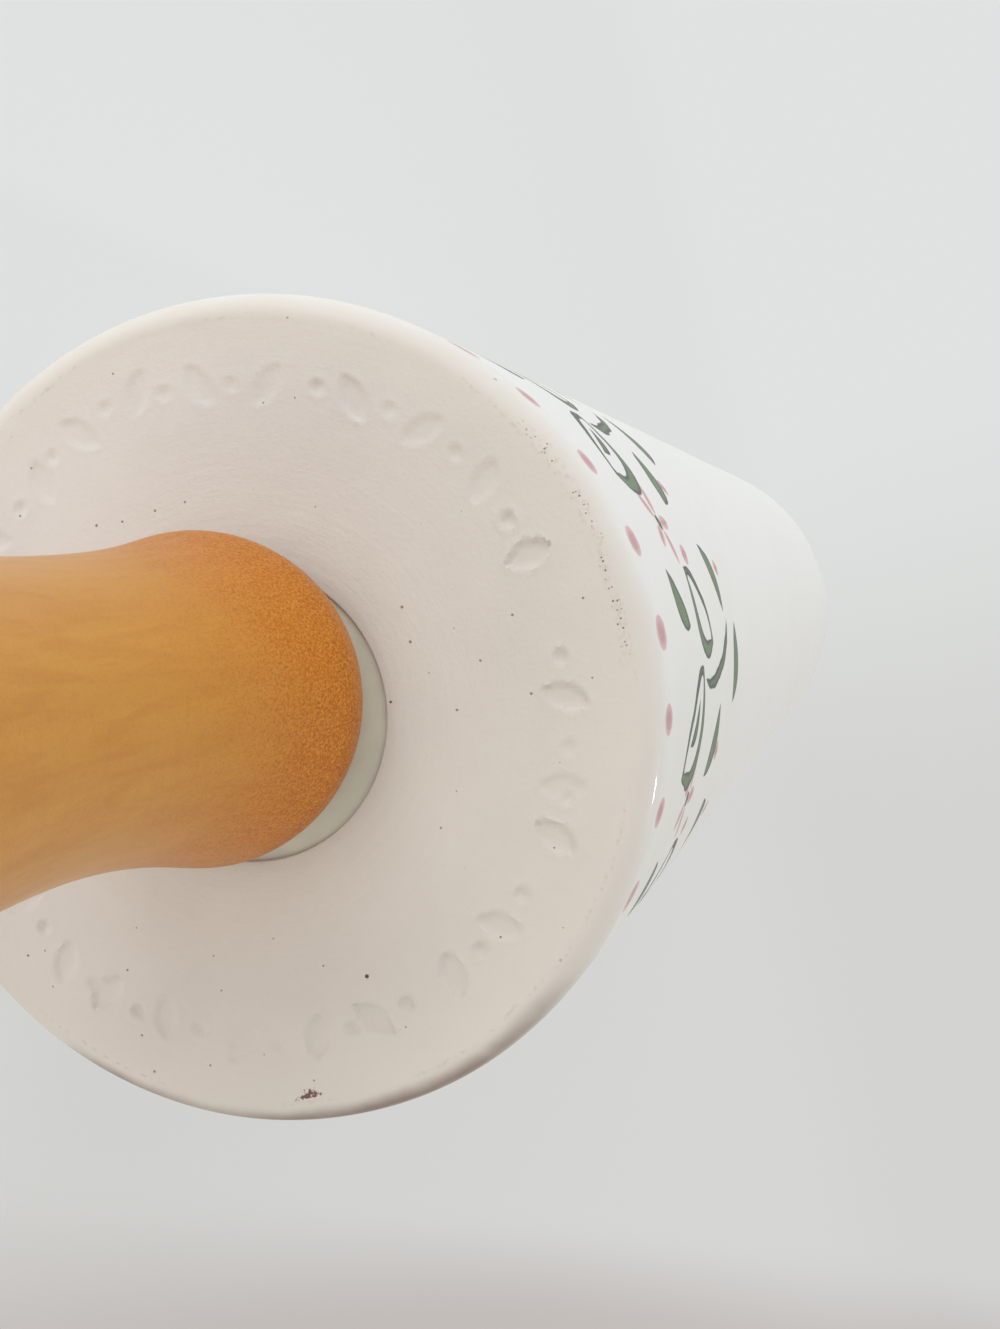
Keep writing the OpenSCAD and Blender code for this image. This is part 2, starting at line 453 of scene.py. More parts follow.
def barrel_place_group():
    """A place's angle round the rod, distance from the nearer end, radius, and 1 at the right end."""
    tree, w, (place, half_length), out = new_group(
        "Barrel Place", ("Place", "Half Length"), ("Angle", "Inward", "Radius", "End"))
    x, y, z = w.parts(place)
    w.fill(out, Angle=w.math("ARCTAN2", z, y), Inward=w.minus(half_length, w.absolute(x)),
           Radius=w.math("SQRT", w.add(w.times(y, y), w.times(z, z))), End=w.math("GREATER_THAN", x, 0.0))
    return tree


def barrel_spot(w, place):
    """The four outputs of that group."""
    return w.group(bpy.data.node_groups["Barrel Place"], Place=place, Half_Length=FACE_X / MM)[:]


def brush_stroke_group():
    """How deep a place lies inside a filled stroke or in its drawn outline, in mm. Outside, depth is negative."""
    tree, w, (place, centre, turn, length, width, bend, bluntness), out = new_group(
        "Brush Stroke", ("Place", "Centre", "Turn", "Length", "Width", "Bend", "Bluntness"), ("Depth", "Line"))
    turned = w.node("ShaderNodeVectorRotate", rotation_type="Z_AXIS", invert=True)
    w.fill(turned.inputs, Vector=w.vector("SUBTRACT", place, centre), Angle=turn)
    along, across, _ = w.parts(turned.outputs[0])
    share = w.absolute(w.over(w.times(along, 2.0), length))
    half = w.times(width, 0.5, w.minus(1.0, w.math("POWER", share, bluntness)))
    beside = w.minus(across, w.times(bend, w.minus(1.0, w.times(share, share))))
    depth = w.minus(half, w.absolute(beside))
    thick = w.blend(w.step(beside, -0.8, 0.8), 0.62, 1.25)
    w.fill(out, Depth=depth, Line=w.minus(thick, w.absolute(w.minus(depth, thick))))
    return tree


def brush_paint_group():
    """Turns a stroke's depth into its cover, the pooled edge where it dried darker, and its streaks."""
    tree, w, (depth, place), out = new_group("Brush Paint", ("Depth", "Place"), ("Cover", "Pool"))
    depth = w.add(depth, w.times(w.minus(w.noise(place, 1.3, 2.0), 0.5), 0.22))
    streaks = w.step(w.noise(w.scaled(place, (4.0, 0.7, 1.0)), 1.0, 3.0), 0.38, 0.72)
    w.fill(out, Cover=w.times(w.step(depth, -0.06, 0.16), w.blend(w.noise(place, 0.5), 0.93, 1.0)),
           Pool=w.highest(w.step(depth, 0.95, 0.22), w.times(streaks, 0.4)))
    return tree


# Strokes of one painted spray: around, inward, turn in degrees, length, width, bend and bluntness, in mm. The first
# is the stem.
FILLED_STROKES = (
    (0.6, 39.0, 76, 22.0, 1.6, 2.4, 5.0),
    (-5.2, 21.6, 52, 6.6, 1.9, 0.9, 2.2),
    (6.4, 19.0, 134, 8.2, 4.0, 1.2, 2.2),
    (-8.6, 38.0, 40, 8.6, 4.2, 1.0, 2.2),
    (7.6, 46.0, 150, 8.6, 4.0, -1.2, 2.2),
    (-1.6, 54.0, 24, 9.6, 4.0, 1.2, 2.2),
)
OUTLINED_STROKES = (
    (-5.2, 21.4, 52, 14.5, 9.0, 2.0, 2.5),
    (5.4, 31.5, 132, 12.0, 7.6, 1.6, 2.4),
)
PETAL_COUNT, PETAL_RING, PETAL_SIZE = 5, 2.7, (3.9, 1.7, 0.0, 3.0)
BLOSSOM_INWARD, BLOSSOM_EYE = 24.0, 0.85
BUD_PLACES, BUD_SIZE = ((-10.0, 42.0), (10.2, 31.0), (9.0, 52.0)), (2.9, 2.1, 0.0, 3.0)
SPRAY_COUNT, SPRAY_PHASE = 8, 0.16
SPRAY_STRAY, BLOSSOM_STRAY, WOBBLE = 1.2, 1.8, 2.4


def sprays_group(barrel_r_mm):
    """The painted band: leafy sprays with buds, and a blossom between each two."""
    tree, w, (angle, inward, end), out = new_group(
        "Painted Sprays", ("Angle", "Inward", "End"), ("Green", "Pink", "Place"))
    stroke = brush_stroke_group()
    pitch = 2 * pi * barrel_r_mm / SPRAY_COUNT
    turns = w.add(w.times(angle, SPRAY_COUNT / (2 * pi)), w.times(end, 0.5), SPRAY_PHASE)
    around = w.times(angle, barrel_r_mm)
    wobble = w.joined(w.minus(w.noise(w.joined(around, inward, end), 0.09), 0.5),
                      w.minus(w.noise(w.joined(around, inward, 7.0), 0.09), 0.5))

    def cell_place(shift, stray):
        """Place within one repeat, moved a little as no two painted by hand are alike."""
        turned = w.add(turns, shift)
        u = w.times(w.minus(w.math("FRACT", turned), 0.5), pitch)
        luck = w.random(w.joined(w.math("FLOOR", turned), end, shift * 10))
        moved = w.scaled(luck, (stray, stray, 0.0))
        return w.vector("ADD", w.vector("ADD", w.joined(u, inward), moved), w.scaled(wobble, (WOBBLE, WOBBLE, 0.0)))

    def laid(place, centre, turn, length, width, bend, bluntness, part="Depth"):
        return w.group(stroke, Place=place, Centre=(*centre, 0.0), Turn=radians(turn), Length=length,
                       Width=width, Bend=bend, Bluntness=bluntness)[part]

    spray = cell_place(0.0, SPRAY_STRAY)
    strokes = [laid(spray, (u, v), *rest) for u, v, *rest in FILLED_STROKES]
    strokes += [laid(spray, (u, v), *rest, part="Line") for u, v, *rest in OUTLINED_STROKES]

    blossom = cell_place(0.5, BLOSSOM_STRAY)
    petals = []
    for i in range(PETAL_COUNT):
        turn = 90 + 360 * i / PETAL_COUNT
        centre = (PETAL_RING * cos(radians(turn)), BLOSSOM_INWARD + PETAL_RING * sin(radians(turn)))
        petals.append(laid(blossom, centre, turn, *PETAL_SIZE))
    buds = [laid(spray, place, 90, *BUD_SIZE) for place in BUD_PLACES]
    eye = w.minus(BLOSSOM_EYE, w.vector("DISTANCE", blossom, (0.0, BLOSSOM_INWARD, 0.0)))
    w.fill(out, Green=w.highest(*strokes, eye), Pink=w.highest(*petals, *buds), Place=w.joined(around, inward))
    return tree


def dot_row_group(barrel_r_mm):
    """A row of brushed dots round each end, no two quite alike."""
    tree, w, (angle, inward, end, count, phase, row, width, length), out = new_group(
        "Dot Row", ("Angle", "Inward", "End", "Count", "Phase", "Row", "Width", "Length"), ("Depth",))
    turns = w.add(w.times(w.over(angle, 2 * pi), count), phase)
    luck = w.random(w.joined(w.math("FLOOR", turns), end, 3.0))
    across, along, size = w.parts(luck)
    pitch = w.over(2 * pi * barrel_r_mm, count)
    u = w.add(w.times(w.minus(w.math("FRACT", turns), 0.5), pitch), w.times(across, 0.9))
    v = w.add(w.minus(inward, row), w.times(along, 0.9))
    grow = w.add(1.0, w.times(size, 0.22))
    a = w.over(u, w.times(width, grow))
    b = w.over(v, w.times(length, grow))
    reach = w.times(w.math("SQRT", w.add(w.times(a, a), w.times(b, b))), 2.0)
    w.fill(out, Depth=w.times(w.minus(1.0, reach), w.times(width, 0.5)))
    return tree


def turning_marks_group():
    """Faint marks that run round an end face, left by the tool and the sponge as the clay turned."""
    tree, w, (radius, angle), out = new_group("Turning Marks", ("Radius", "Angle"), ("Marks",))
    place = w.joined(w.times(radius, 2.2), w.times(w.math("SINE", angle), 2.4), w.times(w.math("COSINE", angle), 2.4))
    w.fill(out, Marks=w.noise(place, 1.0, 4.0, 0.62))
    return tree


# Finishes of the pottery, in mm: distances in from the barrel's radius or from its end, and sizes of specks
DOTS = {"Count": 30.0, "Phase": 0.125, "Row": 4.5, "Width": 2.9, "Length": 4.4}
FINE_SPECKS = {"Cell": 3.1, "Share": 0.22, "Radius": 0.085}
COARSE_SPECKS = {"Cell": 11.0, "Share": 0.16, "Radius": 0.2}
DUST_SPECKS = {"Cell": 1.7, "Share": 0.3, "Radius": 0.08}
PINHOLES = {"Cell": 0.36, "Share": 0.24, "Radius": 0.062}
SMEAR = {"Centre": (32.4, -2.2, 0.0), "Turn": radians(94), "Length": 2.9, "Width": 0.8, "Bend": 0.25,
         "Bluntness": 2.0}
GLAZE_EDGE, GLOSS_EDGE, RIM_SHADE_EDGE, PALE_RIM, THICK_GLAZE = (3.2, 1.2), (1.9, 0.7), (1.9, 0.2), (7.0, 1.0), (0.2, 3.6)
PINHOLE_RING, PINHOLE_RING_MOST, PINHOLE_DRIFT, PINHOLE_ANGLE = 32.3, 33.5, 3.0, 1.80
CREST = 2.1
FINE_TINT, COARSE_TINT, UNDER_GLAZE_TINT = (0.26, 0.15, 0.11), (0.06, 0.035, 0.03), (0.24, 0.20, 0.17)
PINHOLE_TINT, SMEAR_TINT, DUST_TINT = (0.20, 0.11, 0.075), (0.13, 0.05, 0.04), (0.7, 0.7, 0.68)


def pottery_material(colours):
    """Bare clay on the ends and hollow, white glaze with brushed paint on the side, and a cream rim between."""
    material, w, shader = new_material("Glazed Pottery")
    barrel_r = BARREL_R / MM
    place = object_place_mm(w)
    barrel_place_group()
    angle, inward, radius, end = barrel_spot(w, place)

    def near_side(value, start, full):
        return w.step(value, barrel_r - start, barrel_r - full)

    _, y, z = w.parts(place)
    wavy = w.times(w.minus(w.noise(place, 0.16, 3.0), 0.5), 1.3)
    edge = w.add(radius, wavy)
    glazed = near_side(edge, *GLAZE_EDGE)
    glossy = near_side(edge, *GLOSS_EDGE)
    thick = w.step(w.add(inward, wavy), *THICK_GLAZE)
    on_face = near_side(radius, 0.5, 0.9)
    flat = w.joined(w.blend(on_face, w.times(angle, barrel_r), y), w.blend(on_face, w.add(inward, 60.0), z))

    cloud = w.noise(place, 0.07, 3.0)
    grain = w.noise(place, 2.2, 3.0, 0.6)
    marks = w.group(turning_marks_group(), Radius=radius, Angle=angle)["Marks"]
    near_middle = w.step(radius, 27.0, 13.0)
    clay = w.mix(w.step(cloud, 0.35, 0.68), colours.bisque, tinted(colours.bisque, 0.955))
    clay = w.mix(w.times(w.step(marks, 0.48, 0.66), w.add(w.times(near_middle, 0.13), 0.05)), clay,
                 tinted(colours.bisque, 1.05, 1.06, 1.07))
    # Painted shade: the clay a little darker and warmer towards +Y and +Z, the side away from the light
    painted_shade_side = w.step(w.add(w.times(y, 0.8), w.times(z, 0.6)), -28.0, 28.0)
    clay = w.mix(w.times(painted_shade_side, 0.8), clay, w.scaled(clay, (0.985, 0.97, 0.935)))
    clay = w.mix(w.times(w.step(grain, 0.55, 0.75), 0.16), clay, tinted(colours.bisque, 0.86))
    # Painted light: the clay lighter round the hole, offsetting the shade that the handle casts there
    clay = w.mix(w.step(radius, 26.0, 14.0), clay, w.scaled(clay, (1.07, 1.07, 1.04)))
    clay = w.mix(w.times(near_side(radius, *PALE_RIM), 0.85), clay, colours.rim)

    specks = specks_group()
    fine = w.group(specks, Place=flat, **FINE_SPECKS)["Mask"]
    coarse = w.group(specks, Place=flat, **COARSE_SPECKS)["Mask"]
    clay = w.mix(w.times(fine, 0.75), clay, FINE_TINT)
    clay = w.mix(w.times(coarse, 0.9), clay, COARSE_TINT)

    chain_r = w.math("MINIMUM", PINHOLE_RING_MOST, w.add(PINHOLE_RING, w.times(w.minus(angle, 1.5), PINHOLE_DRIFT)))
    beside_chain = w.absolute(w.add(w.minus(radius, chain_r), w.times(wavy, 0.8)))
    pin_band = w.step(beside_chain, 0.60, 0.10)
    pin_run = w.times(w.step(w.absolute(w.minus(angle, PINHOLE_ANGLE)), 0.36, 0.24), on_face, end)
    pin_place = w.times(pin_band, pin_run)
    pinholes = w.times(w.group(specks, Place=flat, **PINHOLES)["Mask"], pin_place)

    white = w.mix(thick, colours.rim, colours.glaze)
    shade = w.mix(w.step(w.noise(place, 0.045, 2.0), 0.3, 0.7), white, tinted(colours.glaze, 0.985, 0.99, 0.975))
    white = w.mix(thick, white, shade)
    dots = w.group(dot_row_group(barrel_r), Angle=angle, Inward=inward, End=end, **DOTS)["Depth"]
    band = w.group(sprays_group(barrel_r), Angle=angle, Inward=inward, End=end)
    paint, stroke = brush_paint_group(), bpy.data.node_groups["Brush Stroke"]
    on_side = near_side(radius, 1.2, 0.9)
    elsewhere = w.times(w.minus(1.0, end), -9.0)
    pink = w.group(paint, Depth=w.add(w.highest(dots, band["Pink"]), elsewhere), Place=band["Place"])
    green = w.group(paint, Depth=w.add(band["Green"], elsewhere), Place=band["Place"])
    pink_ink = w.mix(pink["Pool"], colours.pink, colours.pink_edge)
    green_ink = w.mix(green["Pool"], colours.green, colours.green_edge)
    painted = w.mix(w.times(pink["Cover"], on_side), white, pink_ink)
    painted = w.mix(w.times(green["Cover"], on_side), painted, green_ink)
    painted = w.mix(w.times(coarse, 0.5), painted, UNDER_GLAZE_TINT)

    surface = w.mix(glazed, clay, painted)
    border = w.times(w.step(w.absolute(w.add(edge, CREST - barrel_r)), 0.24, 0.06),
                     w.step(cloud, 0.38, 0.50), on_face)
    browned = w.times(w.highest(pin_place, border), w.step(grain, 0.46, 0.66), 0.4)
    surface = w.mix(browned, surface, tinted(colours.rim, 0.80, 0.70, 0.60))
    surface = w.mix(w.times(pinholes, 0.8), surface, PINHOLE_TINT)
    # Painted shade: the rims darker and browner on their lower side, which turns away from the light
    rim_shade_side = w.step(w.add(w.math("COSINE", angle), w.times(w.minus(cloud, 0.5), 0.6)), 0.68, 0.97)
    rim_shade = w.times(near_side(edge, *RIM_SHADE_EDGE), w.step(inward, 3.0, 0.8), rim_shade_side)
    surface = w.mix(w.times(rim_shade, 0.97), surface, colours.rim_shade)
    smear = w.group(stroke, Place=w.joined(y, z), **SMEAR)["Depth"]
    ragged = w.times(w.minus(w.noise(place, 2.6, 3.0, 0.7), 0.52), 1.9)
    smeared = w.times(w.step(w.add(smear, ragged), 0.0, 0.2), w.step(smear, -0.5, 0.0), end, 0.9)
    surface = w.mix(smeared, surface, SMEAR_TINT)
    w.fill(shader, Base_Color=surface, Roughness=w.blend(glossy, 0.88, 0.45), Specular_IOR_Level=0.15,
           Coat_Weight=w.times(glossy, w.blend(w.step(inward, 7.0, 2.0), 0.12, 0.36)), Coat_Roughness=0.05,
           Coat_IOR=1.5)

    rough_clay = w.add(w.times(grain, 0.035), w.times(marks, w.add(w.times(near_middle, 0.02), 0.015)),
                       w.times(fine, -0.10), w.times(coarse, -0.12), w.times(cloud, 0.25))
    rippled_glaze = w.add(w.times(w.noise(place, 0.11, 1.0), 0.30), w.times(w.noise(place, 0.7, 1.0), 0.012))
    relief = w.add(w.blend(glazed, rough_clay, rippled_glaze), w.times(pinholes, -0.12))
    bump(w, shader, relief)
    return material


def wood_grain_group():
    """Close-grained wood that runs along X: soft growth bands, long streaks and fine flecks."""
    tree, w, (place,), out = new_group("Wood Grain", ("Place",), ("Bands", "Streaks", "Flecks"))
    drift = w.noise(w.scaled(place, (0.012, 0.05, 0.05)), 1.0, 2.0)
    x, y, z = w.parts(place)
    ring_place = w.joined(w.times(x, 0.02), w.add(y, 31.0), w.add(w.times(z, 0.8), -22.0))
    rings = w.add(w.vector("LENGTH", ring_place), w.times(drift, 7.0))
    saw = w.math("FRACT", w.times(rings, 1 / 4.6))
    w.fill(out, Bands=w.times(w.step(saw, 0.05, 0.85), w.step(saw, 1.0, 0.9)),
           Streaks=w.noise(w.scaled(place, (0.10, 0.9, 0.9)), 1.0, 5.0, 0.6, 0.3),
           Flecks=w.noise(w.scaled(place, (3.2, 4.8, 4.8)), 1.0, 3.0, 0.8))
    return tree


def wood_material(colours):
    """Varnished turned wood, darker and speckled near its foot, where the varnish soaked into the cut grain."""
    material, w, shader = new_material("Varnished Wood")
    place = object_place_mm(w)
    grain = w.group(wood_grain_group(), Place=place)
    cloud = w.noise(place, 0.09, 3.0)
    from_foot = w.add(w.absolute(w.parts(place)[0]), -FOOT_X / MM)
    soaked = w.step(w.add(from_foot, w.times(w.minus(cloud, 0.5), 16.0)), 34.0, 1.0)
    along = w.mix(w.times(grain["Bands"], 0.30), colours.wood, tinted(colours.wood, 0.88, 0.78, 0.62))
    streaked = w.times(w.step(grain["Streaks"], 0.44, 0.66), 0.48)
    along = w.mix(streaked, along, tinted(colours.wood, 0.86, 0.74, 0.55))
    figure = w.step(w.noise(w.scaled(place, (0.9, 0.30, 0.30)), 1.0, 3.0, 0.6), 0.50, 0.68)
    along = w.mix(w.times(figure, 0.20), along, tinted(colours.wood, 0.84, 0.72, 0.6))
    # Painted sheen: the wood paler and bluer from 10 to 24 mm past the foot outward, standing in for the pale
    # reflection on the waist
    along = w.mix(w.step(from_foot, 10.0, 24.0), along, w.scaled(along, (0.94, 1.01, 1.26)))
    tint = w.mix(soaked, along, colours.wood_end)
    lit = w.times(w.step(grain["Flecks"], 0.51, 0.61), w.blend(soaked, 0.12, 1.0))
    tint = w.mix(lit, tint, tinted(colours.wood, 1.02, 1.00, 2.2))
    dark = w.times(w.step(grain["Flecks"], 0.49, 0.38), w.blend(soaked, 0.14, 0.9))
    tint = w.mix(dark, tint, tinted(colours.wood_end, 0.70, 0.53, 0.2))
    torn = w.times(w.step(w.noise(place, 1.1, 3.0, 0.7), 0.54, 0.64), w.step(from_foot, 4.5, 1.5))
    tint = w.mix(w.times(torn, 0.7), tint, tinted(colours.wood_end, 0.42))
    w.fill(shader, Base_Color=tint, Roughness=w.blend(w.step(grain["Streaks"], 0.3, 0.7), 0.40, 0.50),
           Specular_IOR_Level=0.05, Coat_Weight=w.blend(soaked, 0.72, 0.3), Coat_Roughness=0.28)
    relief = w.add(w.times(grain["Streaks"], 0.03), w.times(grain["Flecks"], 0.05), w.times(torn, -0.12))
    bump(w, shader, relief)
    return material


def bush_material(colours):
    """Moulded grey-green plastic with a matt skin and fine clay dust in its edge."""
    material, w, shader = new_material("Bush Plastic")
    place = object_place_mm(w)
    _, _, radius, _ = barrel_spot(w, place)
    cloud = w.noise(place, 0.35, 3.0)
    skin = w.mix(w.step(cloud, 0.3, 0.7), colours.bush, tinted(colours.bush, 0.93))
    dust = w.times(w.step(radius, FLANGE_R / MM - 0.9, FLANGE_R / MM - 0.1), w.step(cloud, 0.42, 0.6))
    skin = w.mix(w.times(dust, 0.6), skin, tinted(colours.bisque, 0.9))
    _, y, z = w.parts(place)
    specks = w.group(bpy.data.node_groups["Specks"], Place=w.joined(y, z), **DUST_SPECKS)["Mask"]
    skin = w.mix(w.times(specks, 0.5), skin, DUST_TINT)
    w.fill(shader, Base_Color=skin, Roughness=w.blend(cloud, 0.42, 0.58))
    bump(w, shader, w.add(w.times(w.noise(place, 3.0, 2.0), 0.012), w.times(cloud, 0.05)))
    return material


# Name, tint, roughness and width of the tool marks in mm
METALS = (
    ("Drawn Steel", (0.56, 0.56, 0.55), 0.34, 0.8),
    ("Tumbled Steel", (0.60, 0.60, 0.58), 0.42, 1.6),
    ("Turned Brass", (0.78, 0.57, 0.22), 0.30, 0.5),
)


def turned_metal_material(name, tint, roughness, marks_mm):
    """Metal turned on a lathe: fine rings round the rod's line, with a little wear."""
    material, w, shader = new_material(name)
    place = object_place_mm(w)
    x, _, _ = w.parts(place)
    _, _, radius, _ = barrel_spot(w, place)
    rings = w.noise(w.joined(w.times(x, 1 / marks_mm), w.times(radius, 1 / marks_mm)), 1.0, 2.0)
    wear = w.noise(place, 0.25, 4.0, 0.6)
    w.fill(shader, Base_Color=w.mix(w.times(w.step(wear, 0.4, 0.7), 0.35), tint, tinted(tint, 0.78)), Metallic=1.0,
           Roughness=w.add(w.times(rings, 0.16), w.times(wear, 0.12), roughness - 0.14))
    bump(w, shader, w.times(rings, 0.012))
    return material


SEEING_RAYS = ("Is Camera Ray", "Is Glossy Ray", "Is Transmission Ray")
# Where the floor's painted shadow strip runs, and its tint
SHADOW_STRIP_LINE = (0.435, -0.0875)
SHADOW_STRIP_TINT = (0.77, 0.69, 0.68)
FLOOR_GLOW = (0.38, 0.37, 0.36)
BLACK, WHITE, DARK = (0, 0, 0), (1, 1, 1), (0.30, 0.28, 0.27)
LOW_SIDE, BLOCKED_SIDE, WINDOW_SIDE = (-0.12, 0.98, 0.12), (0.83, 0.27, 0.49), (0.20, -0.96, 0.20)
FAR_LIGHT = ((0.90, 0.89, 0.88), (0.72, 0.70, 0.67))
NEAR_LIGHT = ((1.80, 1.88, 1.96), (0.57, 0.50, 0.43))


def seen(w):
    """1 for what the camera, reflections and clear materials see, and 0 for the light that falls on the object."""
    path = w.node("ShaderNodeLightPath")
    return w.highest(*(path.outputs[name] for name in SEEING_RAYS))


def end_tree(w, end, share, lit, plain):
    """Ends a tree with one shader as light and, by a share, another one as what is seen."""
    mixed = w.node("ShaderNodeMixShader")
    w.feed_all(mixed.inputs, share, lit, plain)
    w.feed(w.tree.nodes[end].inputs["Surface"], mixed.outputs[0])


def room_tone(w, colours, place):
    """The room's colour in the direction of a place, a little dimmer on the side away from the light."""
    side = w.over(w.parts(place)[1], w.add(w.vector("LENGTH", place), 0.15))
    return w.mix(w.step(side, -0.10, 0.16), colours.room, colours.room_dim)


def floor_material(colours):
    """A pale floor that throws light up, keeps a soft shadow near the pin, has a painted shadow strip beyond it and
    fades into the room.
    """
    material, w, shader = new_material("Pale Floor")
    in_sight = seen(w)
    w.fill(shader, Base_Color=colours.floor, Roughness=0.9, Emission_Color=w.mix(in_sight, FLOOR_GLOW, BLACK),
           Emission_Strength=1.0)
    plain = w.node("ShaderNodeEmission")
    place = w.node("ShaderNodeTexCoord").outputs["Object"]
    x, y, _ = w.parts(place)
    away = w.vector("LENGTH", place)
    # Painted shadow: a soft strip across the floor beyond the pin, darker and warmer, in what the camera sees
    beyond = w.over(w.add(y, w.times(x, SHADOW_STRIP_LINE[0]), SHADOW_STRIP_LINE[1]), w.add(away, 0.10))
    band = w.times(w.step(beyond, 0.004, 0.100), w.step(beyond, 0.26, 0.11), w.step(away, 4.0, 1.6))
    tone = room_tone(w, colours, place)
    w.feed(plain.inputs["Color"], w.mix(band, tone, w.scaled(tone, SHADOW_STRIP_TINT)))
    fade = w.blend(w.step(away, 0.35, 1.1), 0.78, 1.0)
    lit = material.node_tree.nodes["Principled BSDF"].outputs[0]
    end_tree(w, "Material Output", w.times(in_sight, fade), lit, plain.outputs[0])
    return material


def room_world(colours, strength):
    """Plain light from all round, seen as the pale room behind the floor."""
    world = bpy.data.worlds.new("Pale Room")
    world.use_nodes = True
    w = Wiring(world.node_tree)
    light = world.node_tree.nodes["Background"]
    heading = w.node("ShaderNodeTexCoord").outputs["Generated"]
    low = w.step(w.vector("DOT_PRODUCT", heading, LOW_SIDE), -1.0, 1.0)
    lit = w.mix(w.step(w.parts(heading)[0], -0.5, 0.15), w.mix(low, *FAR_LIGHT), w.mix(low, *NEAR_LIGHT))
    blocked = w.step(w.vector("DOT_PRODUCT", heading, BLOCKED_SIDE), 0.40, 0.95)
    w.feed(light.inputs["Color"], w.mix(w.times(blocked, 0.5), lit, DARK))
    w.feed(light.inputs["Strength"], strength)
    room = w.node("ShaderNodeBackground")
    tone = room_tone(w, colours, w.scaled(heading, (4.0, 4.0, 4.0)))
    window = w.step(w.vector("DOT_PRODUCT", heading, WINDOW_SIDE), 0.50, 0.95)
    w.feed(room.inputs["Color"], w.mix(window, w.mix(w.times(blocked, 0.5), tone, DARK), WHITE))
    end_tree(w, "World Output", seen(w), light.outputs[0], room.outputs[0])
    return world


# Outlines


def barrel_half_outline(sizes, stamps):
    """Outline of the barrel's right half, from the middle of its side round the end to the middle of the hollow."""
    rim, seat_r = sizes.rim_r, FLANGE_R + sizes.seat_gap
    seat_x = FLANGE_X - sizes.flange_t
    inner_x, inner_r = FACE_X - sizes.end_t, BARREL_R - sizes.shell_t
    band_half = stamps.leaf_l / 2 + 0.9 * MM
    corner, eased = 5 * MM, 0.18 * MM
    side_end = FACE_X - rim
    lip_r = FLANGE_R - 0.08 * MM
    bend_x, bend_r = inner_x - corner, inner_r - corner
    points = [(0, BARREL_R)]
    run_on(points, side_end - 8 * MM, BARREL_R, steps=14)
    run_on(points, side_end, BARREL_R, steps=4)
    points += arc(side_end, BARREL_R - rim, rim, rim, start=90, stop=0, steps=12)[1:]
    run_on(points, FACE_X, stamps.ring_r + band_half, steps=2)
    run_on(points, FACE_X, stamps.ring_r - band_half, steps=22)
    run_on(points, FACE_X, lip_r + eased, steps=11)
    points += arc(FACE_X - eased, lip_r + eased, eased, -eased, start=0, stop=90, steps=3)[1:]
    points += [(FLANGE_X + 0.02 * MM, lip_r), (FLANGE_X - 0.1 * MM, seat_r)]
    for x, r in ((seat_x, seat_r), (seat_x, sizes.sleeve_hole_r), (inner_x, sizes.sleeve_hole_r), (inner_x, bend_r)):
        run_on(points, x, r, steps=2)
    points += arc(bend_x, bend_r, corner, corner, start=0, stop=90, steps=5)[1:]
    run_on(points, 0, inner_r, steps=4)
    return points


def handle_outline(sizes):
    """Outline of the right handle, from the bottom of its drilled hole round the outside to its rounded end."""
    foot, eased = FOOT_X, 0.4 * MM
    bead = (foot + sizes.bead_x, sizes.bead_r)
    waist = (foot + sizes.waist_x, sizes.waist_r)
    palm = (foot + sizes.palm_x, HANDLE_HIGH.z)
    drill_x = foot + sizes.drill_l
    points = [(drill_x + sizes.drill_r / 2, 0), (drill_x, sizes.drill_r), (INSERT_HIGH.x, sizes.drill_r)]
    points += [(INSERT_HIGH.x, sizes.pocket_r), (foot + eased, sizes.pocket_r), (foot, sizes.pocket_r + eased)]
    points += arc(bead[0], sizes.foot_r, sizes.bead_x, sizes.bead_r - sizes.foot_r, start=180, stop=90, steps=14)
    points += sweep(bead, waist, leave=0.08, settle=0.6, steps=30)
    points += sweep(waist, palm, leave=0.42, settle=0.38, steps=30)
    points += arc(palm[0], 0, HANDLE_HIGH.x - palm[0], palm[1], start=90, stop=0, steps=28)[1:]
    return points


LEAF_LEAN = 24
WANDER = 1.3
SEED_R = 0.55 * MM


def leaf_depth(along, across, length, width):
    """How deep a place lies inside a pressed leaf, negative outside it."""
    share = min(abs(2 * along / length), 1.5)
    return width / 2 * (1 - share ** 2.2) - abs(across)


def stamp_shapes(stamps):
    """The pressed marks of one end: their angle, radius, turn and firmness. Leaves lean left and right in turn."""
    shapes = []
    for i in range(stamps.count):
        wander = Vector([noise.noise(Vector((i * 7.3 + 0.37, 31.7 * k, 0.5))) for k in range(3)]) * WANDER
        angle = 2 * pi * (i + 0.3 * wander.x) / stamps.count
        lean = radians(LEAF_LEAN if i % 2 else -LEAF_LEAN) + 0.5 * wander.y
        firm = (0.95 + 0.9 * wander.y) * (1 - 0.5 * smoothstep(0.1, 0.9, -cos(angle)))
        shapes.append((angle, stamps.ring_r + 0.9 * MM * wander.z, lean, firm))
    return shapes


def stamp_depth(shapes, stamps, angle, radius):
    """Depth inside the nearest pressed mark, and how firmly that one was pressed."""
    best, firmness = -1.0, 1.0
    nearest = round(angle / (2 * pi) * stamps.count)
    for i in (nearest - 1, nearest, nearest + 1):
        mark_angle, mark_r, lean, firm = shapes[i % stamps.count]
        gap = (angle - mark_angle + pi) % (2 * pi) - pi
        u, v = gap * radius, radius - mark_r
        along, across = v * cos(lean) + u * sin(lean), u * cos(lean) - v * sin(lean)
        leaf = leaf_depth(along, across, stamps.leaf_l, stamps.leaf_w)
        seed = SEED_R - hypot(u - pi * radius / stamps.count, v)
        best, firmness = max((best, firmness), (leaf, firm), (seed, firm), key=lambda mark: mark[0])
    return best, firmness


# Operators: one for each piece or group of like pieces


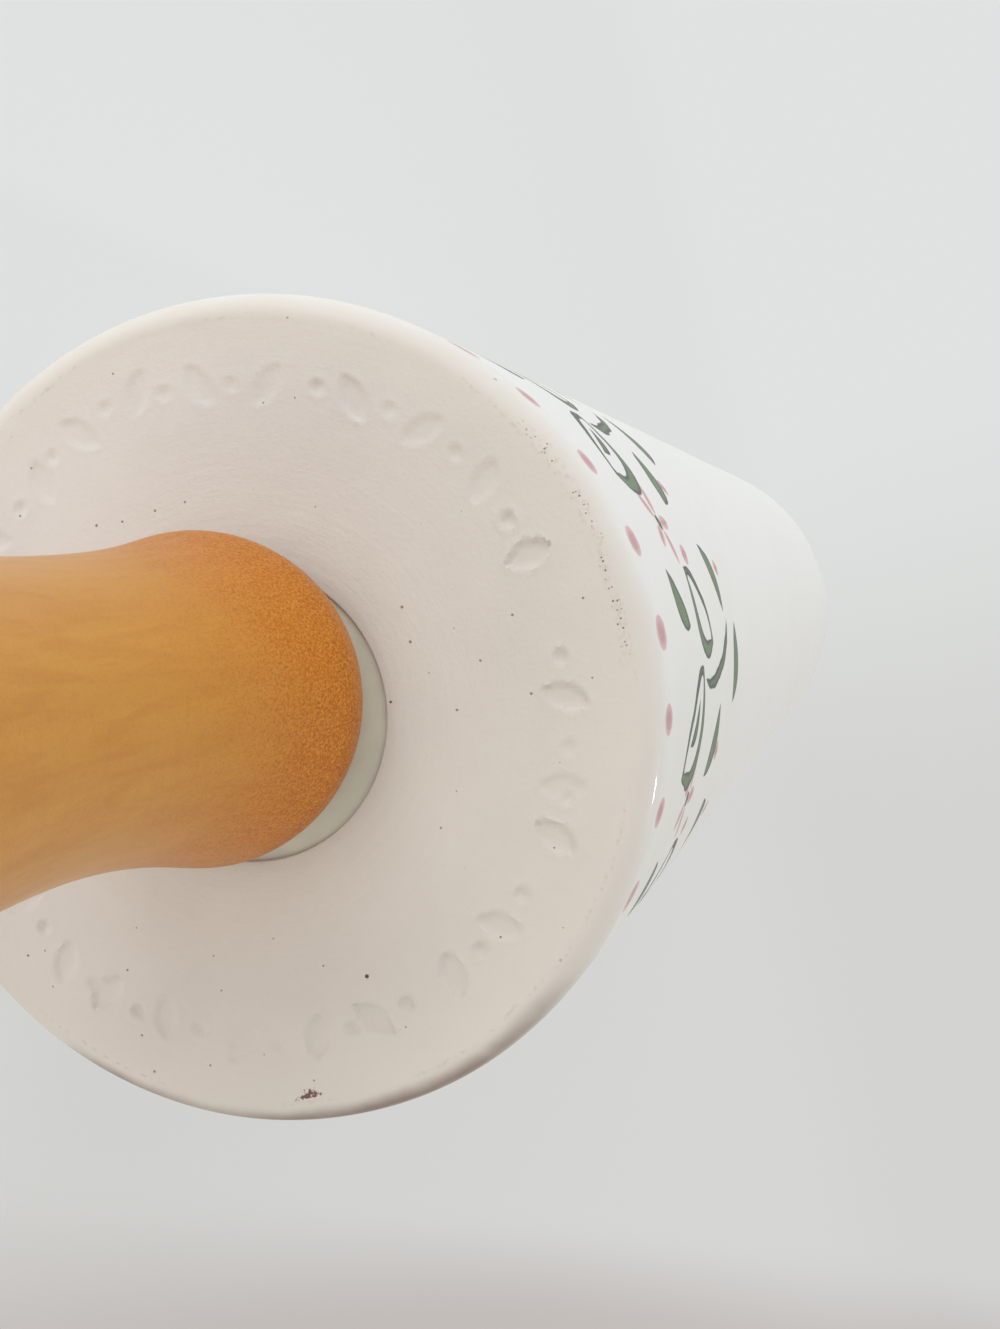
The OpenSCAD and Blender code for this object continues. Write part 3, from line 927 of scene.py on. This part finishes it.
class PIN_OT_barrel(bpy.types.Operator):
    """Model the hollow pottery barrel, its worked ends and its pressed border"""
    bl_idname = "rolling_pin.barrel"
    bl_label = "Barrel"

    def execute(self, context):
        sizes, stamps = context.scene.pin_barrel, context.scene.pin_stamps
        half = barrel_half_outline(sizes, stamps)
        other = [(-x, r) for x, r in reversed(half[1:-1])]
        barrel = turn_outline("pottery_barrel", half + other + [half[0]], sizes.segments)

        clouds = set_up(bpy.data.textures.new("Hand Shaping", "CLOUDS"), noise_scale=35 * MM, noise_depth=1)
        seat_r, outside_r = FLANGE_R + sizes.seat_gap, FLANGE_R + 2 * MM
        face_from, side_from = FACE_X - 0.5 * MM, BARREL_R - 3.1 * MM
        weigh(barrel, "outside", lambda p: smoothstep(seat_r, outside_r, hypot(p.y, p.z))
              if abs(p.x) > face_from or hypot(p.y, p.z) > side_from else 0)
        displace(barrel, "outside", sizes.unevenness, clouds)

        shapes = {end: stamp_shapes(stamps) for end in ENDS}
        low, high = stamps.ring_r - stamps.leaf_l, stamps.ring_r + stamps.leaf_l

        def pressed(place, outer, inner):
            """How firmly the clay is pressed at a place, from 0 at the outer depth to full at the inner one, in mm."""
            radius = hypot(place.y, place.z)
            if abs(place.x) < FACE_X - 1 * MM or not low < radius < high:
                return 0
            end = "right" if place.x > 0 else "left"
            depth, firm = stamp_depth(shapes[end], stamps, atan2(place.z, place.y), radius)
            return firm * smoothstep(outer * MM, inner * MM, depth)

        weigh(barrel, "pressed", lambda p: pressed(p, -0.22, 0.30))
        weigh(barrel, "lips", lambda p: pressed(p, -0.75, -0.20) - pressed(p, -0.22, 0.05))
        displace(barrel, "pressed", -stamps.depth)
        displace(barrel, "lips", stamps.lip)
        smooth(barrel, sharp_from=40)
        barrel.data.materials.append(pottery_material(context.scene.pin_colours))
        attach(barrel, "barrel")
        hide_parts("barrel")
        return {"FINISHED"}


class PIN_OT_handles(bpy.types.Operator):
    """Turn both wooden handles, with the pocket and drilled hole in the foot of each"""
    bl_idname = "rolling_pin.handles"
    bl_label = "Handles"

    def execute(self, context):
        sizes = context.scene.pin_handle
        material = wood_material(context.scene.pin_colours)
        right = turn_outline("turned_right_handle", handle_outline(sizes), sizes.segments)
        hole_r, hole_end = sizes.pocket_r + 0.5 * MM, FOOT_X + sizes.drill_l + sizes.drill_r
        at_foot, waist_x = sizes.off_at_foot, FOOT_X + sizes.waist_x
        weigh(right, "form", lambda p: at_foot + (1 - at_foot) * smoothstep(FOOT_X, waist_x, p.x)
              if hypot(p.y, p.z) > hole_r or p.x > hole_end else 0)
        displace(right, "form", -sizes.off_centre, direction="Y")
        displace(right, "form", -sizes.off_low, direction="Z")
        left = copied(right, "turned_left_handle")
        bpy.ops.transform.mirror(orient_type="GLOBAL", constraint_axis=(True, False, False), center_override=(0, 0, 0))
        close_edit()
        for end, handle in (("right", right), ("left", left)):
            smooth(handle, sharp_from=40)
            handle.data.materials.append(material)
            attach(handle, "handles")
            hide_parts(end + "_handle")
        return {"FINISHED"}


class PIN_OT_bushes(bpy.types.Operator):
    """Swell the flange of both end bushes a little"""
    bl_idname = "rolling_pin.bushes"
    bl_label = "End Bushes"

    def execute(self, context):
        material = bush_material(context.scene.pin_colours)
        grow, rim_from = FLANGE_R / BUSH_HIGH.z, BUSH_HIGH.z - 0.3 * MM
        for end in ENDS:
            bush = copied(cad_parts[end + "_end_bush"], "moulded_" + end + "_bush")
            bpy.ops.mesh.remove_doubles(threshold=0.001 * MM)
            close_edit()
            weigh(bush, "flange rim", lambda p: 1 if hypot(p.y, p.z) > rim_from else 0)
            bpy.ops.object.mode_set(mode="EDIT")
            bpy.ops.mesh.select_all(action="DESELECT")
            bpy.ops.object.vertex_group_select()
            bpy.ops.transform.resize(value=(1, grow, grow), center_override=(0, 0, 0))
            bpy.ops.object.mode_set(mode="OBJECT")
            smooth(bush, sharp_from=30)
            bush.data.materials.append(material)
            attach(bush, "barrel")
            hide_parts(end + "_end_bush")
        return {"FINISHED"}


class PIN_OT_metalwork(bpy.types.Operator):
    """Finish the rod, thrust washers and threaded inserts"""
    bl_idname = "rolling_pin.metalwork"
    bl_label = "Metalwork"

    def execute(self, context):
        drawn, tumbled, brass = (turned_metal_material(*metal) for metal in METALS)
        finishes = {"rod": drawn}
        for end in ENDS:
            finishes[end + "_thrust_washer"] = tumbled
            finishes[end + "_threaded_insert"] = brass
        for node, material in finishes.items():
            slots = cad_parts[node].data.materials
            slots.clear()
            slots.append(material)
        return {"FINISHED"}


LAMP_TARGET = (FACE_X, 0, 0)
# Name, place and size; their power is a setting
LAMPS = (("Key Lamp", (0.50, -0.42, 0.02), 0.35), ("Overhead Lamp", (-0.16, 0.38, 0.62), 0.06))
SENSOR_MM, CLIP_START = 36, 5 * MM


class PIN_OT_stage(bpy.types.Operator):
    """Add the pale floor, the soft lamps and the camera"""
    bl_idname = "rolling_pin.stage"
    bl_label = "Stage"

    def execute(self, context):
        stage, colours = context.scene.pin_stage, context.scene.pin_colours
        nothing_selected()
        bpy.ops.mesh.primitive_plane_add(size=stage.floor_w, location=(0, 0, -BARREL_R))
        floor = context.object
        floor.name = "floor"
        bpy.ops.object.transform_apply(location=True, rotation=True, scale=True)
        floor.data.materials.append(floor_material(colours))

        scene = context.scene
        scene.world = room_world(colours, stage.world)
        scene.view_settings.view_transform = "Standard"

        for (name, place, size), power in zip(LAMPS, (stage.key, stage.overhead)):
            light = set_up(bpy.data.lights.new(name, "AREA"), shape="DISK", size=size, energy=power)
            stand(light, place, LAMP_TARGET)

        camera = set_up(bpy.data.cameras.new("Camera"), lens=stage.lens, sensor_width=SENSOR_MM, clip_start=CLIP_START)
        scene.camera = stand(camera, stage.eye, stage.target, stage.roll)
        return {"FINISHED"}


class PIN_PT_panel(bpy.types.Panel):
    """Sizes, colours and steps of the rolling pin"""
    bl_idname = "PIN_PT_panel"
    bl_label = "Rolling Pin"
    bl_space_type = "VIEW_3D"
    bl_region_type = "UI"
    bl_category = "Rolling Pin"

    def draw(self, context):
        layout, scene = self.layout, context.scene
        for label, (settings, group) in SETTINGS.items():
            box = layout.box()
            box.label(text=label)
            for name in group.__annotations__:
                box.prop(getattr(scene, settings), name)
        for step in STEPS:
            layout.operator(step.bl_idname)


SETTINGS = {
    "Barrel": ("pin_barrel", BarrelSizes),
    "Pressed border": ("pin_stamps", StampSizes),
    "Handles": ("pin_handle", HandleSizes),
    "Colours": ("pin_colours", PinColours),
    "Stage": ("pin_stage", StageSettings),
}
STEPS = (PIN_OT_barrel, PIN_OT_bushes, PIN_OT_handles, PIN_OT_metalwork, PIN_OT_stage)


def register():
    for name, group in SETTINGS.values():
        bpy.utils.register_class(group)
        setattr(bpy.types.Scene, name, PointerProperty(type=group))
    for step in (*STEPS, PIN_PT_panel):
        bpy.utils.register_class(step)


def unregister():
    for step in (*STEPS, PIN_PT_panel):
        bpy.utils.unregister_class(step)
    for name, group in SETTINGS.values():
        delattr(bpy.types.Scene, name)
        bpy.utils.unregister_class(group)


def main():
    register()
    bpy.ops.rolling_pin.barrel()
    bpy.ops.rolling_pin.bushes()
    bpy.ops.rolling_pin.handles()
    bpy.ops.rolling_pin.metalwork()
    bpy.ops.rolling_pin.stage()


if __name__ == "__main__":
    main()
